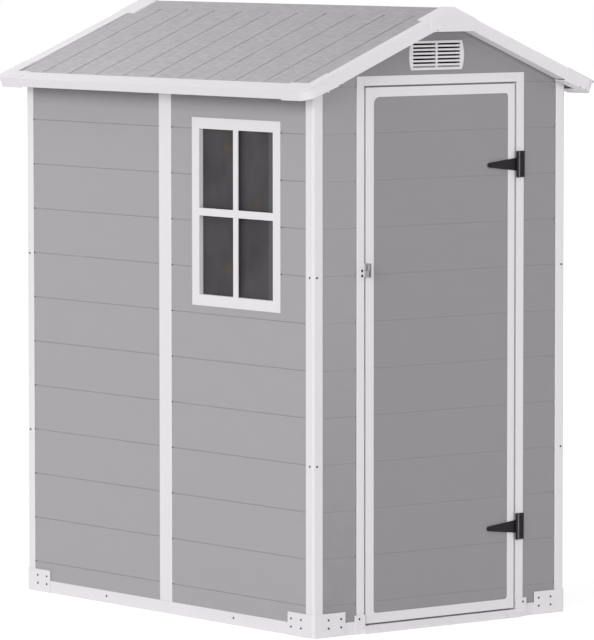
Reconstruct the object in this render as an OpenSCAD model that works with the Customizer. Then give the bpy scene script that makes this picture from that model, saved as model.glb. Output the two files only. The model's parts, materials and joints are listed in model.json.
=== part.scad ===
// Small resin garden shed: grey board-pattern panels held in white posts and trims,
// a pitched roof, a hinged door with T-hinges and a fixed side window.
// Millimetres. Origin on the ground under the middle of the shed, front towards -Y, +Z up.

/* [Body] */
// Width across the outer faces of the corner posts
body_w = 1030; // [1000:1:1300]
// Depth across the outer faces of the corner posts
body_d = 1526; // [1300:1:2200]
// Side of the square corner post
post_w = 38; // [34:1:46]
// Width of the posts between two panels
mid_post_w = 65; // [50:1:90]
// Height of the base rails
rail_h = 40; // [30:1:60]
// Thickness of the wall panels
panel_t = 16; // [12:1:20]
// Step from the post face back to the panel face
panel_inset = 1.5; // [1:0.5:4]
// Thickness of the floor panels
floor_t = 20; // [12:1:22]

/* [Roof] */
// Height of the white trims at the ridge
ridge_h = 1952.7; // [1900:0.1:2100]
// Roof slope in degrees
slope = 22.55; // [18:0.05:25]
// Half width of the roof, from the ridge to the eave edge
roof_half_w = 597; // [590:1:740]
// Overhang of the roof past the front and rear posts
end_overhang = 60; // [50:1:90]
// Thickness of the roof panels
roof_t = 16; // [12:1:20]
// Sheet thickness of the white trims
trim_t = 3.5; // [2.5:0.5:5]

/* [Door] */
// Half width of the door frame
frame_half_w = 342; // [330:1:360]
// Height of the door frame
frame_h = 1743.5; // [1700:0.5:1760]
// Face width of the door frame
frame_w = 30; // [26:1:36]
// Gap beside the leaf at the latch side
latch_gap = 7.5; // [5:0.5:8]
// Gap beside the leaf at the hinge side
hinge_gap = 7.5; // [6:0.5:10]
// Height of the leaf's lower edge
leaf_z0 = 29.5; // [29:0.5:40]
// Thickness of the leaf
leaf_t = 22; // [18:1:26]

/* [Window] */
// Height of the window frame's lower edge
window_z0 = 1005.5; // [950:0.5:1060]
// Height of the window frame
window_h = 597.5; // [500:0.5:620]
// Width of the window frame
window_w = 455; // [400:1:480]
// Distance from the front of the shed to the frame
window_y = 165; // [120:1:200]

/* [Hidden] */

white = "#e9e8ea";
panel_grey = "#a3a2a4";
roof_grey = "#b4b3b5";
inside_grey = "#8f8f90";
black = "#2c2c2e";
metal = "#a9a9ab";
glass_grey = "#5a5a5c";

half_w = body_w / 2;
half_d = body_d / 2;
post_r = 8;                 // outer corner radius of the posts
inner_x = half_w - post_w;  // inner face of the corner posts
inner_y = half_d - post_w;
skin_x = half_w - panel_inset;  // outer face of the side panels
skin_y = half_d - panel_inset;

edge = 2;                   // overlap of unions and through cuts

// Roof frame: u runs down the slope from the ridge line, v stands square to it,
// and v = 0 is the top face of the white trims.
roof_half_d = half_d + end_overhang;
eave_u = roof_half_w / cos(slope);
panel_top = -trim_t;
panel_under = panel_top - roof_t;
fascia_v = -30.4;           // lower edge of the eave fascia
rake_v = -38.3;             // lower edge of the rake board
seat_gap = 0.3;             // play between the roof panels and what they rest on
rake_flange = 39;           // top flange of the rake trim over the roof
rake_lip = 47;              // lower flange of the rake trim, back towards the gable
eave_flange = 52.6;         // top flange of the eave trim over the roof
eave_lip = 40;              // lower flange of the eave trim
cap_t = 2.5;                // thickness of the corner and apex caps
cap_reach_y = 108;          // length of a corner cap along the eave
cap_reach_u = 140;          // length of a corner cap along the rake
apex_reach = 100;           // length of an apex cap down each slope
apex_flat_z = 1878.5;       // flat lower edge of the apex caps
ridge_cap_u = 61;           // half width of the ridge cap down the slope
beam_w = 40;                // ridge beam
beam_h = 60;

// Door
jamb_x = frame_half_w - frame_w;
frame_depth = 38;
stop_w = 16;                // rebate lip behind the leaf
stop_t = 7;
leaf_y = -half_d + 1;       // front face of the leaf
leaf_x0 = -jamb_x + latch_gap;
leaf_x1 = jamb_x - hinge_gap;
leaf_z1 = frame_h - frame_w - 5.5;
stile_left_w = 32;
stile_right_w = 28;
rail_top_w = 30;
rail_bottom_w = 31;
leaf_panel_t = 14;
leaf_panel_inset = 1.5;
leaf_groove = 6;            // depth of the groove that holds the leaf panel
latch_corner_r = 22;        // corner webs of the leaf, at the top on the latch side
leaf_corner_r = 10;         // and at the other three corners
sill_h = 24;
sill_lip_h = 40;            // rebate lip at the back of the sill
sill_reach = 18;            // step of the sill in front of the posts
sill_nose = 8;              // height of the sill's front edge

// T-hinges
hinge_z = [291.5, 1451];
pin_x = jamb_x;
pin_y = -half_d - 7.5;
pin_r = 3;
pin_play = 0.08;
knuckle_r = 6.5;
hinge_h = 84;
strap_h = 41;
strap_tip_h = 15;
strap_t = 3.5;
strap_len = 121;
knuckle_play = 0.6;
plate_x1 = jamb_x + 31;

// Padlock eyes
eye_z = 1118;
eye_h = 43.5;
eye_t = 2;
eye_out = 25;
eye_jamb_reach = 18;
eye_door_reach = 22;
eye_slot_w = 7;
eye_slot_h = 18;
eye_slot_z = 31;

// Base brackets
bracket_len = 126;
bracket_h = 74.5;
bracket_t = 3;
bracket_lift = 1;
foot_w = 40;
foot_t = 7;
foot_h = 60;
sill_front = -half_d - sill_reach;
foot_ramp_x0 = 264;         // each foot also closes one end of the sill's ramp
foot_ramp_x1 = 323;
foot_ramp_proud = 1;

// Window
window_y0 = -half_d + window_y;
window_y1 = window_y0 + window_w;
window_z1 = window_z0 + window_h;
window_bar = 38;            // face width of the window frame's sides
window_rail = 35.5;         // face width of its top and bottom
window_lap = 10;            // lap of the frame over the panel
window_depth = 26;          // depth of the frame
glass_t = 3;
glass_inset = 18;

// Gable vent, set a little towards the latch side
vent_x = -21.5;
vent_z0 = 1756.5;
vent_h = 91.5;
vent_w = 206;
vent_bulge = 8.5;
vent_t = 4;
vent_slots = 7;
vent_pitch = 11.75;
vent_slot_h = 5;
vent_slot_w = 92.5;
vent_bar = 7;

gap = 1;                    // joint between like panels

function under_z(x) = ridge_h + panel_under / cos(slope) - abs(x) * tan(slope) - seat_gap;
function mitre(v) = -v * tan(slope);

// Children drawn in the roof frame of the right-hand slope (side = 1) or left (side = -1)
module on_slope(side) {
    mirror([side < 0 ? 1 : 0, 0, 0])
        translate([0, 0, ridge_h])
            rotate([0, slope, 0])
                children();
}

// Bar along Y whose (u, v) outline is given in the roof frame
module slope_bar(points, y0, y1) {
    translate([0, y1, 0])
        rotate([90, 0, 0])
            linear_extrude(y1 - y0) polygon(points);
}

// Rectangle in (u, v) with its ridge end cut to the vertical plane over the ridge
module slope_slab(u1, v0, v1, y0, y1, side_gap = 0) {
    slope_bar([[mitre(v0) + side_gap, v0], [u1, v0], [u1, v1], [mitre(v1) + side_gap, v1]], y0, y1);
}

module block(x0, x1, y0, y1, z0, z1) {
    translate([x0, y0, z0]) cube([x1 - x0, y1 - y0, z1 - z0]);
}

// Everything that clears the underside of the roof panels
module below_roof() {
    reach = roof_half_w;
    rotate([90, 0, 0])
        translate([0, 0, -roof_half_d])
            linear_extrude(2 * roof_half_d)
                polygon([[-reach, 0], [reach, 0], [reach, under_z(reach)],
                         [0, under_z(0)], [-reach, under_z(reach)]]);
}

// Post that stands at the +X +Y corner, mirrored to the other corners
module corner_post(sx, sy) {
    color(white)
        intersection() {
            mirror([sx < 0 ? 1 : 0, 0, 0])
                mirror([0, sy < 0 ? 1 : 0, 0])
                    linear_extrude(ridge_h)
                        corner_outline();
            below_roof();
        }
}

module corner_outline() {
    translate([inner_x, inner_y]) square([post_w - post_r, post_w]);
    translate([inner_x, inner_y]) square([post_w, post_w - post_r]);
    translate([half_w - post_r, half_d - post_r]) circle(r = post_r, $fn = 48);
}

module side_mid_post(side) {
    color(white)
        intersection() {
            block(side < 0 ? -half_w : inner_x, side < 0 ? -inner_x : half_w,
                  -mid_post_w / 2, mid_post_w / 2, rail_h, ridge_h);
            below_roof();
        }
}

// Side wall panel between a corner post (at end = -1 front, 1 rear) and the middle post
module side_panel(side, end) {
    near = mid_post_w / 2;
    intersection() {
        block(side < 0 ? -skin_x : skin_x - panel_t, side < 0 ? -skin_x + panel_t : skin_x,
              end < 0 ? -inner_y : near, end < 0 ? -near : inner_y, rail_h, ridge_h);
        below_roof();
    }
}

module floor_panels() {
    color(inside_grey)
        for (end = [-1, 1])
            block(-inner_x, inner_x, end < 0 ? -inner_y : gap, end < 0 ? -gap : inner_y, 0, floor_t);
}

module base_rails() {
    color(white) {
        for (side = [-1, 1])
            block(side < 0 ? -half_w : inner_x, side < 0 ? -inner_x : half_w, -inner_y, inner_y, 0, rail_h);
        block(-inner_x, inner_x, inner_y, half_d, 0, rail_h);
        for (side = [-1, 1])
            block(side < 0 ? -inner_x : frame_half_w, side < 0 ? -frame_half_w : inner_x,
                  -half_d, -inner_y, 0, rail_h);
    }
}

// Threshold between the jambs: a ramp in front and a rebate lip behind the leaf
module door_sill() {
    stop_x = jamb_x - stop_w;
    end_x = foot_ramp_x0 - gap;
    color(white) {
        difference() {
            translate([-jamb_x, 0, 0])
                rotate([90, 0, 90])
                    linear_extrude(2 * jamb_x)
                        polygon([[sill_front, 0], [-inner_y, 0], [-inner_y, sill_h],
                                 [-half_d, sill_h], [sill_front, sill_nose]]);
            for (side = [-1, 1])
                block(side < 0 ? -half_w : end_x, side < 0 ? -end_x : half_w,
                      sill_front - edge, -half_d, -edge, sill_h + edge);
        }
        block(-stop_x, stop_x, -half_d + frame_depth - stop_t, -inner_y, sill_h - edge, sill_lip_h);
    }
}

module corner_post_front_left() { corner_post(-1, -1); }
module corner_post_front_right() { corner_post(1, -1); }
module corner_post_rear_left() { corner_post(-1, 1); }
module corner_post_rear_right() { corner_post(1, 1); }
module mid_post_left() { side_mid_post(-1); }
module mid_post_right() { side_mid_post(1); }

module mid_post_rear() {
    color(white) block(-mid_post_w / 2, mid_post_w / 2, inner_y, half_d, rail_h, frame_h);
}

// L-shaped brackets round the foot of each corner
module base_brackets() {
    reach_x = half_w - bracket_len;
    reach_y = half_d - bracket_len;
    color(white)
        for (sx = [-1, 1], sy = [-1, 1])
            mirror([sx < 0 ? 1 : 0, 0, 0])
                mirror([0, sy < 0 ? 1 : 0, 0])
                    translate([0, 0, bracket_lift])
                        linear_extrude(bracket_h - bracket_lift)
                            difference() {
                                union() {
                                    translate([reach_x, half_d - post_r])
                                        square([bracket_len - post_r, post_r + bracket_t]);
                                    translate([half_w - post_r, reach_y])
                                        square([post_r + bracket_t, bracket_len - post_r]);
                                    translate([half_w - post_r, half_d - post_r])
                                        circle(r = post_r + bracket_t, $fn = 48);
                                }
                                translate([reach_x - edge, reach_y - edge])
                                    square([bracket_len - post_r + edge, bracket_len + edge]);
                                translate([reach_x - edge, reach_y - edge])
                                    square([bracket_len + edge, bracket_len - post_r + edge]);
                                translate([half_w - post_r, half_d - post_r])
                                    circle(r = post_r, $fn = 48);
                            }
}

module wall_left_front() {
    color(panel_grey)
        difference() {
            side_panel(-1, -1);
            block(-half_w, -inner_x, window_y0 + window_lap, window_y1 - window_lap,
                  window_z0 + window_lap, window_z1 - window_lap);
        }
}

module wall_left_rear() { color(panel_grey) side_panel(-1, 1); }
module wall_right_front() { color(panel_grey) side_panel(1, -1); }
module wall_right_rear() { color(panel_grey) side_panel(1, 1); }

module wall_rear_left() {
    color(panel_grey)
        intersection() {
            block(-inner_x, -mid_post_w / 2, skin_y - panel_t, skin_y, rail_h, frame_h);
            below_roof();
        }
}

module wall_rear_right() {
    color(panel_grey)
        intersection() {
            block(mid_post_w / 2, inner_x, skin_y - panel_t, skin_y, rail_h, frame_h);
            below_roof();
        }
}

module gable_rear() {
    color(panel_grey)
        intersection() {
            block(-inner_x, inner_x, skin_y - panel_t, skin_y, frame_h, ridge_h);
            below_roof();
        }
}

module wall_front_left() {
    color(panel_grey)
        intersection() {
            block(-inner_x, -frame_half_w, -skin_y, -skin_y + panel_t, rail_h, ridge_h);
            below_roof();
        }
}

module wall_front_right() {
    color(panel_grey)
        intersection() {
            block(frame_half_w, inner_x, -skin_y, -skin_y + panel_t, rail_h, ridge_h);
            below_roof();
        }
}

// Front gable with the two air holes behind the vent's upper slots
module gable_front() {
    color(panel_grey)
        difference() {
            intersection() {
                block(-frame_half_w, frame_half_w, -skin_y, -skin_y + panel_t, frame_h, ridge_h);
                below_roof();
            }
            for (side = [-1, 1])
                translate([vent_x + side * (vent_slot_w + vent_bar) / 2, -skin_y + panel_t / 2,
                           vent_z0 + vent_h / 2 + vent_pitch / 2])
                    cube([vent_slot_w, panel_t + edge, (vent_slots - 1) * vent_pitch - edge], center = true);
        }
}

module gable_vent() {
    z1 = vent_z0 + vent_h;
    zm = vent_z0 + vent_h / 2;
    x0 = vent_w / 2;
    xm = vent_w / 2 + vent_bulge;
    color(white)
        translate([vent_x, -skin_y, 0])
            difference() {
                rotate([90, 0, 0])
                    linear_extrude(vent_t)
                        polygon([[-x0, vent_z0], [x0, vent_z0], [xm, zm], [x0, z1], [-x0, z1], [-xm, zm]]);
                for (side = [-1, 1], k = [0 : vent_slots - 1])
                    translate([side * (vent_slot_w + vent_bar) / 2, -vent_t / 2,
                               zm + (k - (vent_slots - 1) / 2) * vent_pitch])
                        cube([vent_slot_w, vent_t + edge, vent_slot_h], center = true);
            }
}

// Frame clipped into the side panel, with a flange over its outer face
module window_frame() {
    color(white)
        difference() {
            union() {
                block(-half_w, -skin_x, window_y0, window_y1, window_z0, window_z1);
                block(-half_w + gap, -half_w + window_depth, window_y0 + window_lap, window_y1 - window_lap,
                      window_z0 + window_lap, window_z1 - window_lap);
            }
            block(-half_w - edge, -half_w + window_depth + edge,
                  window_y0 + window_bar, window_y1 - window_bar,
                  window_z0 + window_rail, window_z1 - window_rail);
        }
}

module window_glass() {
    x0 = -half_w + glass_inset;
    color(glass_grey, 0.5)
        block(x0, x0 + glass_t, window_y0 + window_bar, window_y1 - window_bar,
              window_z0 + window_rail, window_z1 - window_rail);
}

// Door frame members: a face part and a lip that the leaf closes against
module jamb(side) {
    mirror([side < 0 ? 1 : 0, 0, 0]) {
        block(jamb_x, frame_half_w, -half_d, -half_d + frame_depth, 0, frame_h);
        block(jamb_x - stop_w, jamb_x + edge, -half_d + frame_depth - stop_t, -half_d + frame_depth,
              sill_h, frame_h - frame_w);
    }
}

module door_jamb_left() { color(white) jamb(-1); }
module door_jamb_right() { color(white) jamb(1); }

module door_head() {
    z0 = frame_h - frame_w;
    color(white) {
        block(-jamb_x, jamb_x, -half_d, -half_d + frame_depth, z0, frame_h);
        block(-jamb_x + stop_w, jamb_x - stop_w, -half_d + frame_depth - stop_t, -half_d + frame_depth,
              z0 - stop_w, z0 + edge);
    }
}

// Plates at the foot of the jambs, each with the end piece of the ramp
module jamb_feet() {
    front = sill_front - foot_ramp_proud;
    color(white)
        for (side = [-1, 1])
            mirror([side < 0 ? 1 : 0, 0, 0]) {
                block(jamb_x, jamb_x + foot_w, -half_d - foot_t, -half_d, bracket_lift, foot_h);
                translate([foot_ramp_x0, 0, 0])
                    rotate([90, 0, 90])
                        linear_extrude(foot_ramp_x1 - foot_ramp_x0)
                            polygon([[front, bracket_lift], [-half_d, bracket_lift],
                                     [-half_d, sill_h], [front, sill_nose]]);
            }
}

// Leaf frame member with a groove along the faces that meet the panel
module leaf_panel_space(grow) {
    block(leaf_x0 + stile_left_w - grow, leaf_x1 - stile_right_w + grow,
          leaf_y + leaf_panel_inset, leaf_y + leaf_panel_inset + leaf_panel_t,
          leaf_z0 + rail_bottom_w - grow, leaf_z1 - rail_top_w + grow);
}

module door_panel() { color(panel_grey) leaf_panel_space(leaf_groove); }

module door_stile_left() {
    color(white)
        difference() {
            block(leaf_x0, leaf_x0 + stile_left_w, leaf_y, leaf_y + leaf_t, leaf_z0, leaf_z1);
            leaf_panel_space(leaf_groove);
        }
}

module door_stile_right() {
    color(white)
        difference() {
            block(leaf_x1 - stile_right_w, leaf_x1, leaf_y, leaf_y + leaf_t, leaf_z0, leaf_z1);
            leaf_panel_space(leaf_groove);
        }
}

// Rail between the stiles, with a rounded web in each corner in front of the panel
module leaf_rail(z0, z1, up, latch_r) {
    x0 = leaf_x0 + stile_left_w;
    x1 = leaf_x1 - stile_right_w;
    face = up > 0 ? z1 : z0;
    color(white) {
        difference() {
            block(x0, x1, leaf_y, leaf_y + leaf_t, z0, z1);
            leaf_panel_space(leaf_groove);
        }
        for (end = [-1, 1])
            translate([end < 0 ? x0 : x1, leaf_y + leaf_panel_inset, face])
                rotate([90, 0, 0])
                    linear_extrude(leaf_panel_inset)
                        corner_web(end < 0 ? latch_r : leaf_corner_r, end, up);
    }
}

module corner_web(r, end, up) {
    difference() {
        translate([end < 0 ? 0 : -r, up > 0 ? -edge : -r]) square([r, r + edge]);
        translate([-end * r, up * r]) circle(r = r, $fn = 64);
    }
}

module door_rail_top() { leaf_rail(leaf_z1 - rail_top_w, leaf_z1, -1, latch_corner_r); }
module door_rail_bottom() { leaf_rail(leaf_z0, leaf_z0 + rail_bottom_w, 1, leaf_corner_r); }

// Tapered straps on the leaf, each with the middle knuckle of its hinge
module hinge_straps() {
    h = strap_h / 2;
    t = strap_tip_h / 2;
    color(black)
        for (z = hinge_z)
            translate([pin_x, 0, z])
                difference() {
                    union() {
                        translate([0, leaf_y, 0])
                            rotate([90, 0, 0])
                                linear_extrude(strap_t) {
                                    polygon([[0, -h], [0, h], [-strap_len + t, t], [-strap_len + t, -t]]);
                                    translate([-strap_len + t, 0]) circle(r = t, $fn = 48);
                                }
                        translate([0, pin_y, -h]) cylinder(r = knuckle_r, h = strap_h, $fn = 64);
                    }
                    translate([0, pin_y, -h - edge])
                        cylinder(r = pin_r + pin_play, h = strap_h + 2 * edge, $fn = 64);
                }
}

// Fixed plates on the jamb, with the outer knuckles and the pin
module hinge_plates() {
    inner = strap_h / 2 + knuckle_play;
    outer = hinge_h / 2;
    color(black)
        for (z = hinge_z)
            translate([pin_x, 0, z]) {
                difference() {
                    translate([0, -half_d, 0])
                        rotate([90, 0, 0])
                            translate([0, -outer, 0])
                                cube([plate_x1 - pin_x, hinge_h, strap_t]);
                    translate([-edge, -half_d - strap_t - edge, -inner])
                        cube([knuckle_r + edge + gap, strap_t + 2 * edge, 2 * inner]);
                }
                for (side = [-1, 1])
                    translate([0, pin_y, side > 0 ? inner : -outer])
                        cylinder(r = knuckle_r, h = outer - inner, $fn = 64);
                translate([0, pin_y, -outer]) cylinder(r = pin_r, h = hinge_h, $fn = 64);
            }
}

// Angle plate with a slotted lug that stands out square to the door, for a padlock
module lock_eye(face_y, lug_x, reach, side) {
    plate = side < 0 ? [-reach, 0] : [0, reach];
    color(metal)
        translate([lug_x, face_y, eye_z])
            difference() {
                union() {
                    translate([min(plate), -eye_t, 0]) cube([reach, eye_t, eye_h]);
                    translate([side < 0 ? -eye_t : 0, -eye_out, 0]) cube([eye_t, eye_out, eye_h]);
                }
                translate([-eye_t - edge, -eye_out / 2 - eye_slot_w / 2 - eye_t, eye_slot_z - eye_slot_h / 2])
                    cube([2 * (eye_t + edge), eye_slot_w, eye_slot_h]);
            }
}

module lock_eye_jamb() { lock_eye(-half_d, -jamb_x, eye_jamb_reach, -1); }
module lock_eye_door() { lock_eye(leaf_y, leaf_x0, eye_door_reach, 1); }

module roof_panel(side) {
    on_slope(side)
        slope_slab(eave_u - trim_t, panel_under, panel_top, -roof_half_d + trim_t, roof_half_d - trim_t);
}

module roof_panel_left() { color(roof_grey) roof_panel(-1); }
module roof_panel_right() { color(roof_grey) roof_panel(1); }

module ridge_cap() {
    reach = roof_half_d - rake_flange;
    color(roof_grey)
        for (side = [-1, 1])
            on_slope(side) slope_slab(ridge_cap_u, panel_top, 0, -reach, reach);
}

module ridge_beam() {
    reach = skin_y - panel_t;
    color(inside_grey)
        intersection() {
            block(-beam_w / 2, beam_w / 2, -reach, reach, under_z(0) - beam_h, ridge_h);
            below_roof();
        }
}

// C-shaped edging along each eave: top flange, fascia and lower lip
module eave_trims() {
    reach = roof_half_d - rake_flange;
    t = trim_t;
    color(white)
        for (side = [-1, 1])
            on_slope(side)
                slope_bar([[eave_u - eave_flange, 0], [eave_u, 0], [eave_u, fascia_v],
                           [eave_u - eave_lip, fascia_v], [eave_u - eave_lip, fascia_v + t],
                           [eave_u - t, fascia_v + t], [eave_u - t, -t], [eave_u - eave_flange, -t]],
                          -reach, reach);
}

// C-shaped edging along each sloping edge of one gable (end = -1 front, 1 rear);
// its board narrows to the depth of the fascia at the eave
module rake_trims(end) {
    r = roof_half_d;
    t = trim_t;
    inner = r - rake_lip - edge;
    color(white)
        for (side = [-1, 1])
            on_slope(side)
                mirror([0, end < 0 ? 1 : 0, 0])
                    difference() {
                        slope_bar([[gap, 0], [mitre(rake_v) + gap, rake_v], [eave_u - cap_reach_u, rake_v],
                                   [eave_u, fascia_v], [eave_u, 0]], r - rake_lip, r);
                        slope_bar([[-rake_lip, rake_v + t], [eave_u - cap_reach_u, rake_v + t],
                                   [eave_u + edge, fascia_v + t], [eave_u + edge, -t], [-rake_lip, -t]],
                                  inner, r - t);
                        block(-rake_lip, eave_u + edge, inner, r - rake_flange, -t - edge, edge);
                        block(eave_u - eave_lip - edge, eave_u + edge, inner, r - rake_flange,
                              rake_v - edge, edge);
                    }
}

module rake_trims_front() { rake_trims(-1); }
module rake_trims_rear() { rake_trims(1); }

// Gable-shaped covers over the meeting of the rake trims
module apex_caps() {
    r = roof_half_d;
    inner = r - rake_flange - cap_t;
    color(white)
        for (end = [-1, 1])
            mirror([0, end < 0 ? 1 : 0, 0])
                difference() {
                    gable_bar(inner, r + cap_t) apex_outline();
                    gable_bar(inner - edge, r) trim_space();
                }
}

// Bar along Y whose outline is drawn in (x, z)
module gable_bar(y0, y1) {
    translate([0, y1, 0])
        rotate([90, 0, 0])
            linear_extrude(y1 - y0) children();
}

// Chevron over the rake boards, with a flat filled corner under the apex
module apex_outline() {
    x = apex_reach * cos(slope);
    drop = x * tan(slope);
    top = ridge_h + cap_t / cos(slope);
    low = ridge_h + rake_v / cos(slope);
    flat_x = (low - apex_flat_z) / tan(slope);
    polygon([[0, top], [x, top - drop], [x, low - drop], [flat_x, apex_flat_z],
             [-flat_x, apex_flat_z], [-x, low - drop], [-x, top - drop]]);
}

// Everything under the top face of the white trims
module trim_space() {
    x = apex_reach + edge;
    polygon([[0, ridge_h], [x, ridge_h - x * tan(slope)], [x, 0], [-x, 0], [-x, ridge_h - x * tan(slope)]]);
}

// Covers over the four lower corners of the roof edging
module eave_corner_caps() {
    r = roof_half_d;
    u = eave_u;
    c = cap_t;
    color(white)
        for (side = [-1, 1], end = [-1, 1])
            on_slope(side)
                mirror([0, end < 0 ? 1 : 0, 0]) {
                    // over the two top flanges
                    block(u - cap_reach_u, u + c, r - rake_flange - c, r + c, 0, c);
                    block(u - eave_flange - c, u + c, r - cap_reach_y, r - rake_flange, 0, c);
                    // outside the fascia and the rake board
                    block(u, u + c, r - cap_reach_y, r + c, fascia_v - c, c / 2);
                    slope_bar([[u - cap_reach_u, c / 2], [u - cap_reach_u, rake_v - c],
                               [u + c / 2, fascia_v - c], [u + c / 2, c / 2]], r, r + c);
                    // under the fascia's lower edge
                    block(u - eave_lip, u + c / 2, r - cap_reach_y, r - rake_flange, fascia_v - c, fascia_v);
                }
}

floor_panels();
base_rails();
door_sill();
corner_post_front_left();
corner_post_front_right();
corner_post_rear_left();
corner_post_rear_right();
mid_post_left();
mid_post_right();
mid_post_rear();
base_brackets();
wall_left_front();
wall_left_rear();
wall_right_front();
wall_right_rear();
wall_rear_left();
wall_rear_right();
gable_rear();
wall_front_left();
wall_front_right();
gable_front();
gable_vent();
window_frame();
window_glass();
door_jamb_left();
door_jamb_right();
door_head();
jamb_feet();
door_panel();
door_stile_left();
door_stile_right();
door_rail_top();
door_rail_bottom();
hinge_straps();
hinge_plates();
lock_eye_jamb();
lock_eye_door();
roof_panel_left();
roof_panel_right();
ridge_cap();
ridge_beam();
eave_trims();
rake_trims_front();
rake_trims_rear();
apex_caps();
eave_corner_caps();
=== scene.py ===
"""Looks of the small resin garden shed: grooved grey panels in white posts and trims,
black T-hinges, padlock plates, a louvred gable vent and a tinted side window.
Metres in the part's own frame; MM turns millimetres into metres."""
import json
import math

import bmesh
import bpy
from mathutils import Matrix, Vector


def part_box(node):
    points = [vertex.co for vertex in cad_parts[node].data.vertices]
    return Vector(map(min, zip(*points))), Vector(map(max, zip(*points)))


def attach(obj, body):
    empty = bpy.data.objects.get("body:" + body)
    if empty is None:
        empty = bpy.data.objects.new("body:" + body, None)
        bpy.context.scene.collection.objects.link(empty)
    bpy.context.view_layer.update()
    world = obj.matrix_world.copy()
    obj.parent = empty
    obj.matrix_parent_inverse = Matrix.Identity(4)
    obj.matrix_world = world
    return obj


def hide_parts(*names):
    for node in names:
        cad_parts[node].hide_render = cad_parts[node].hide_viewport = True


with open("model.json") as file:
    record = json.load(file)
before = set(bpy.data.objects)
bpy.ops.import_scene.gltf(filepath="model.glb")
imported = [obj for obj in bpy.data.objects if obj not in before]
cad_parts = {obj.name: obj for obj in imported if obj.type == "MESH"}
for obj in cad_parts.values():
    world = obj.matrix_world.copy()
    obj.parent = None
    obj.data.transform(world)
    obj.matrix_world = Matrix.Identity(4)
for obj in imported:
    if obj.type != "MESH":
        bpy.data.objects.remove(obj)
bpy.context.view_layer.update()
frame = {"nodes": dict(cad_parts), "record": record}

MM = 0.001
SLOPE = math.radians(22.55)
NODES = frame["nodes"]
BODY_OF = {n: b for b, ns in frame["record"]["behaviour"]["bodies"].items() for n in ns}
SLOT_OF = {p["node"]: p["material_slot"] for p in frame["record"]["subparts"]}
scene = bpy.context.scene


# ---------------------------------------------------------------- node helpers
def put(tree, kind, values=None, **settings):
    """Adds a node; values fill its inputs by name or number, with a constant or a link."""
    node = tree.nodes.new(kind)
    for key, value in settings.items():
        setattr(node, key, value)
    for key, value in (values or {}).items():
        if isinstance(value, bpy.types.NodeSocket):
            tree.links.new(value, node.inputs[key])
        else:
            node.inputs[key].default_value = value
    return node


def new_group(name, kind, inputs, outputs):
    """An empty node group with named sockets, and its input and output nodes."""
    tree = bpy.data.node_groups.new(name, kind)
    for way, sockets in (("INPUT", inputs), ("OUTPUT", outputs)):
        for label, socket_kind, value in sockets:
            socket = tree.interface.new_socket(name=label, in_out=way,
                                               socket_type="NodeSocket" + socket_kind)
            if value is not None:
                socket.default_value = value
    return tree, tree.nodes.new("NodeGroupInput").outputs, tree.nodes.new("NodeGroupOutput").inputs


def maths(tree, operation, a, b=0.0, c=0.0):
    return put(tree, "ShaderNodeMath", {0: a, 1: b, 2: c}, operation=operation).outputs[0]


def vector_product(tree, a, b):
    return put(tree, "ShaderNodeVectorMath", {0: a, 1: b}, operation="MULTIPLY").outputs[0]


def shaded(tree, colour, factor):
    """A colour times a plain number."""
    return put(tree, "ShaderNodeVectorMath", {0: colour, "Scale": factor}, operation="SCALE").outputs[0]


def blend(tree, share, first, second):
    """Colour between two colours: the first at share 0, the second at share 1."""
    return put(tree, "ShaderNodeMix", {0: share, 6: first, 7: second}, data_type="RGBA").outputs[2]


def ramp(tree, value, start, stop, first=0.0, last=1.0):
    """Straight change from first to last while the value goes from start to stop."""
    return put(tree, "ShaderNodeMapRange", {0: value, 1: start, 2: stop, 3: first, 4: last}).outputs[0]


def object_place(tree):
    return put(tree, "ShaderNodeTexCoord").outputs["Object"]


def object_axis(tree, axis):
    """One of the object coordinates: X, Y or Z."""
    return put(tree, "ShaderNodeSeparateXYZ", {0: object_place(tree)}).outputs[axis]


def noise(tree, place, scale, detail, roughness=0.5):
    return put(tree, "ShaderNodeTexNoise", {"Vector": place, "Scale": scale, "Detail": detail,
                                            "Roughness": roughness}).outputs["Fac"]


def seen_directly(tree):
    """1 where the eye, a reflection or a clear sheet looks at a surface, 0 where it only gives light."""
    path = put(tree, "ShaderNodeLightPath").outputs
    mirrored = maths(tree, "MAXIMUM", path["Is Glossy Ray"], path["Is Transmission Ray"])
    return maths(tree, "MAXIMUM", path["Is Camera Ray"], mirrored)


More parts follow.
